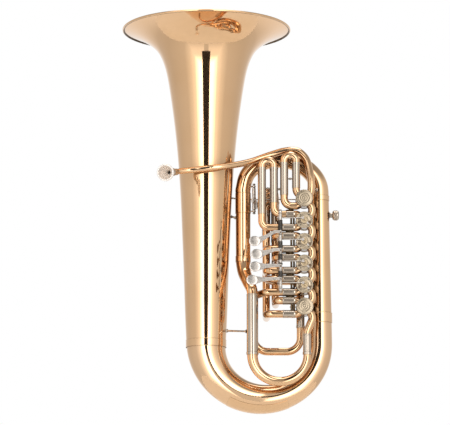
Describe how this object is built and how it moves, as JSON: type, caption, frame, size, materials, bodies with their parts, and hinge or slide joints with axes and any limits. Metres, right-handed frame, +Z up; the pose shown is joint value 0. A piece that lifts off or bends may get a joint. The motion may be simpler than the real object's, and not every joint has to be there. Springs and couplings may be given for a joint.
{
  "type": "tuba",
  "caption": "Upright rotary tuba: wide bell, tapered bows and branches, rotary valves with levers, links and slides.",
  "frame": {"origin": "middle of the whole instrument in X and Y, at the lowest point of the bottom bow", "axes": "+Z up along the bell, towards the rim; -Y is the side of the valves and the player; +X from the bell towards the outer branch"},
  "size_m": [0.5377, 0.42, 0.9644],
  "materials": {
    "gold_brass_lacquer": "polished gold brass under clear lacquer",
    "nickel_silver": "polished nickel silver",
    "nickel_silver_caps": "turned nickel silver, fine concentric lines",
    "nickel_silver_levers": "polished nickel silver",
    "rotor_brass": "turned brass",
    "silver_plate": "polished silver plate",
    "spring_steel": "dark spring steel",
    "cork": "dark cork composition"
  },
  "bodies": {
    "root": {"bell": "gold_brass_lacquer", "bottom_bow": "gold_brass_lacquer", "bow_guard": "gold_brass_lacquer", "outer_branch": "gold_brass_lacquer", "top_bow": "gold_brass_lacquer", "inner_branch": "gold_brass_lacquer", "gooseneck": "gold_brass_lacquer", "ferrules": "gold_brass_lacquer", "leadpipe": "gold_brass_lacquer", "mouthpiece_receiver": "nickel_silver", "valve_casings": "nickel_silver", "bearing_plates": "rotor_brass", "valve_caps": "nickel_silver_caps", "cork_bumpers": "cork", "knuckles": "gold_brass_lacquer", "valve_tubes_1": "gold_brass_lacquer", "valve_tubes_2": "gold_brass_lacquer", "valve_tubes_3": "gold_brass_lacquer", "valve_tubes_4": "gold_brass_lacquer", "valve_tubes_5": "gold_brass_lacquer", "valve_tubes_6": "gold_brass_lacquer", "slide_sleeves": "nickel_silver", "main_sleeves": "nickel_silver", "hinge_rods": "nickel_silver_levers", "hinge_posts": "nickel_silver_levers", "lever_springs": "spring_steel", "braces": "nickel_silver", "screw_knob": "nickel_silver"},
    "lever_1_body": {"lever_1": "nickel_silver_levers"},
    "rotor_1_body": {"rotor_1": "rotor_brass", "stop_arm_1": "nickel_silver_levers"},
    "link_1_body": {"link_1": "nickel_silver_levers"},
    "valve_slide_1_body": {"valve_slide_1": "gold_brass_lacquer"},
    "lever_2_body": {"lever_2": "nickel_silver_levers"},
    "rotor_2_body": {"rotor_2": "rotor_brass", "stop_arm_2": "nickel_silver_levers"},
    "link_2_body": {"link_2": "nickel_silver_levers"},
    "valve_slide_2_body": {"valve_slide_2": "gold_brass_lacquer"},
    "lever_3_body": {"lever_3": "nickel_silver_levers"},
    "rotor_3_body": {"rotor_3": "rotor_brass", "stop_arm_3": "nickel_silver_levers"},
    "link_3_body": {"link_3": "nickel_silver_levers"},
    "valve_slide_3_body": {"valve_slide_3": "gold_brass_lacquer"},
    "lever_4_body": {"lever_4": "nickel_silver_levers"},
    "rotor_4_body": {"rotor_4": "rotor_brass", "stop_arm_4": "nickel_silver_levers"},
    "link_4_body": {"link_4": "nickel_silver_levers"},
    "valve_slide_4_body": {"valve_slide_4": "gold_brass_lacquer"},
    "lever_5_body": {"lever_5": "nickel_silver_levers"},
    "rotor_5_body": {"rotor_5": "rotor_brass", "stop_arm_5": "nickel_silver_levers"},
    "link_5_body": {"link_5": "nickel_silver_levers"},
    "valve_slide_5_body": {"valve_slide_5": "gold_brass_lacquer"},
    "lever_6_body": {"lever_6": "nickel_silver_levers"},
    "rotor_6_body": {"rotor_6": "rotor_brass", "stop_arm_6": "nickel_silver_levers"},
    "link_6_body": {"link_6": "nickel_silver_levers"},
    "valve_slide_6_body": {"valve_slide_6": "gold_brass_lacquer"},
    "main_tuning_slide_body": {"main_tuning_slide": "gold_brass_lacquer"},
    "mouthpiece_body": {"mouthpiece": "silver_plate"}
  },
  "joints": [
    {"name": "lever_1_press", "type": "hinge", "parent": "root", "child": "lever_1_body", "pos_m": [0.05935, -0.00305, 0.5233], "axis": [0, 0, 1], "range_deg": [0, 20], "stiffness_Nm_per_rad": 0.15, "springref_deg": -20.05},
    {"name": "rotor_1_turn", "type": "hinge", "parent": "root", "child": "rotor_1_body", "pos_m": [0.18175, -0.048, 0.5233], "axis": [0, 1, 0], "range_deg": [0, 90]},
    {"name": "link_1_pivot", "type": "hinge", "parent": "rotor_1_body", "child": "link_1_body", "pos_m": [0.17779, -0.0255, 0.52726], "axis": [0, 1, 0], "range_deg": [-90, 0]},
    {"name": "lever_2_press", "type": "hinge", "parent": "root", "child": "lever_2_body", "pos_m": [0.12215, -0.09295, 0.4698], "axis": [0, 0, -1], "range_deg": [0, 20], "stiffness_Nm_per_rad": 0.15, "springref_deg": -20.05},
    {"name": "rotor_2_turn", "type": "hinge", "parent": "root", "child": "rotor_2_body", "pos_m": [0.18175, -0.048, 0.4698], "axis": [0, 1, 0], "range_deg": [0, 90]},
    {"name": "link_2_pivot", "type": "hinge", "parent": "rotor_2_body", "child": "link_2_body", "pos_m": [0.17779, -0.0705, 0.47376], "axis": [0, 1, 0], "range_deg": [-90, 0]},
    {"name": "lever_3_press", "type": "hinge", "parent": "root", "child": "lever_3_body", "pos_m": [0.12215, -0.09295, 0.4163], "axis": [0, 0, -1], "range_deg": [0, 20], "stiffness_Nm_per_rad": 0.15, "springref_deg": -20.05},
    {"name": "rotor_3_turn", "type": "hinge", "parent": "root", "child": "rotor_3_body", "pos_m": [0.18175, -0.048, 0.4163], "axis": [0, 1, 0], "range_deg": [0, 90]},
    {"name": "link_3_pivot", "type": "hinge", "parent": "rotor_3_body", "child": "link_3_body", "pos_m": [0.17779, -0.0705, 0.42026], "axis": [0, 1, 0], "range_deg": [-90, 0]},
    {"name": "lever_4_press", "type": "hinge", "parent": "root", "child": "lever_4_body", "pos_m": [0.12215, -0.09295, 0.3628], "axis": [0, 0, -1], "range_deg": [0, 20], "stiffness_Nm_per_rad": 0.15, "springref_deg": -20.05},
    {"name": "rotor_4_turn", "type": "hinge", "parent": "root", "child": "rotor_4_body", "pos_m": [0.18175, -0.048, 0.3628], "axis": [0, 1, 0], "range_deg": [0, 90]},
    {"name": "link_4_pivot", "type": "hinge", "parent": "rotor_4_body", "child": "link_4_body", "pos_m": [0.17779, -0.0705, 0.36676], "axis": [0, 1, 0], "range_deg": [-90, 0]},
    {"name": "lever_5_press", "type": "hinge", "parent": "root", "child": "lever_5_body", "pos_m": [0.12215, -0.09295, 0.3093], "axis": [0, 0, -1], "range_deg": [0, 20], "stiffness_Nm_per_rad": 0.15, "springref_deg": -20.05},
    {"name": "rotor_5_turn", "type": "hinge", "parent": "root", "child": "rotor_5_body", "pos_m": [0.18175, -0.048, 0.3093], "axis": [0, 1, 0], "range_deg": [0, 90]},
    {"name": "link_5_pivot", "type": "hinge", "parent": "rotor_5_body", "child": "link_5_body", "pos_m": [0.17779, -0.0705, 0.31326], "axis": [0, 1, 0], "range_deg": [-90, 0]},
    {"name": "lever_6_press", "type": "hinge", "parent": "root", "child": "lever_6_body", "pos_m": [0.15435, -0.00305, 0.2558], "axis": [0, 0, 1], "range_deg": [0, 20], "stiffness_Nm_per_rad": 0.15, "springref_deg": -20.05},
    {"name": "rotor_6_turn", "type": "hinge", "parent": "root", "child": "rotor_6_body", "pos_m": [0.18175, -0.048, 0.2558], "axis": [0, 1, 0], "range_deg": [0, 90]},
    {"name": "link_6_pivot", "type": "hinge", "parent": "rotor_6_body", "child": "link_6_body", "pos_m": [0.17779, -0.0255, 0.25976], "axis": [0, 1, 0], "range_deg": [-90, 0]},
    {"name": "valve_slide_1_pull", "type": "slide", "parent": "root", "child": "valve_slide_1_body", "axis": [0, 0, 1], "range_m": [0, 0.055]},
    {"name": "valve_slide_2_pull", "type": "slide", "parent": "root", "child": "valve_slide_2_body", "axis": [0, 0, 1], "range_m": [0, 0.06]},
    {"name": "valve_slide_3_pull", "type": "slide", "parent": "root", "child": "valve_slide_3_body", "axis": [0, 0, 1], "range_m": [0, 0.04]},
    {"name": "valve_slide_4_pull", "type": "slide", "parent": "root", "child": "valve_slide_4_body", "axis": [0, 0, 1], "range_m": [0, 0.04]},
    {"name": "valve_slide_5_pull", "type": "slide", "parent": "root", "child": "valve_slide_5_body", "axis": [0, 0, -1], "range_m": [0, 0.048]},
    {"name": "valve_slide_6_pull", "type": "slide", "parent": "root", "child": "valve_slide_6_body", "axis": [0, 0, 1], "range_m": [0, 0.04]},
    {"name": "main_tuning_slide_pull", "type": "slide", "parent": "root", "child": "main_tuning_slide_body", "axis": [0, 0, -1], "range_m": [0, 0.065]},
    {"name": "mouthpiece_pull", "type": "slide", "parent": "root", "child": "mouthpiece_body", "axis": [-0.22, -0.9548, -0.2], "range_m": [0, 0.12]}
  ],
  "couplings": [
    {"joint": "rotor_1_turn", "follows": "lever_1_press", "ratio": 4.5},
    {"joint": "link_1_pivot", "follows": "lever_1_press", "ratio": -4.5},
    {"joint": "rotor_2_turn", "follows": "lever_2_press", "ratio": 4.5},
    {"joint": "link_2_pivot", "follows": "lever_2_press", "ratio": -4.5},
    {"joint": "rotor_3_turn", "follows": "lever_3_press", "ratio": 4.5},
    {"joint": "link_3_pivot", "follows": "lever_3_press", "ratio": -4.5},
    {"joint": "rotor_4_turn", "follows": "lever_4_press", "ratio": 4.5},
    {"joint": "link_4_pivot", "follows": "lever_4_press", "ratio": -4.5},
    {"joint": "rotor_5_turn", "follows": "lever_5_press", "ratio": 4.5},
    {"joint": "link_5_pivot", "follows": "lever_5_press", "ratio": -4.5},
    {"joint": "rotor_6_turn", "follows": "lever_6_press", "ratio": 4.5},
    {"joint": "link_6_pivot", "follows": "lever_6_press", "ratio": -4.5}
  ]
}
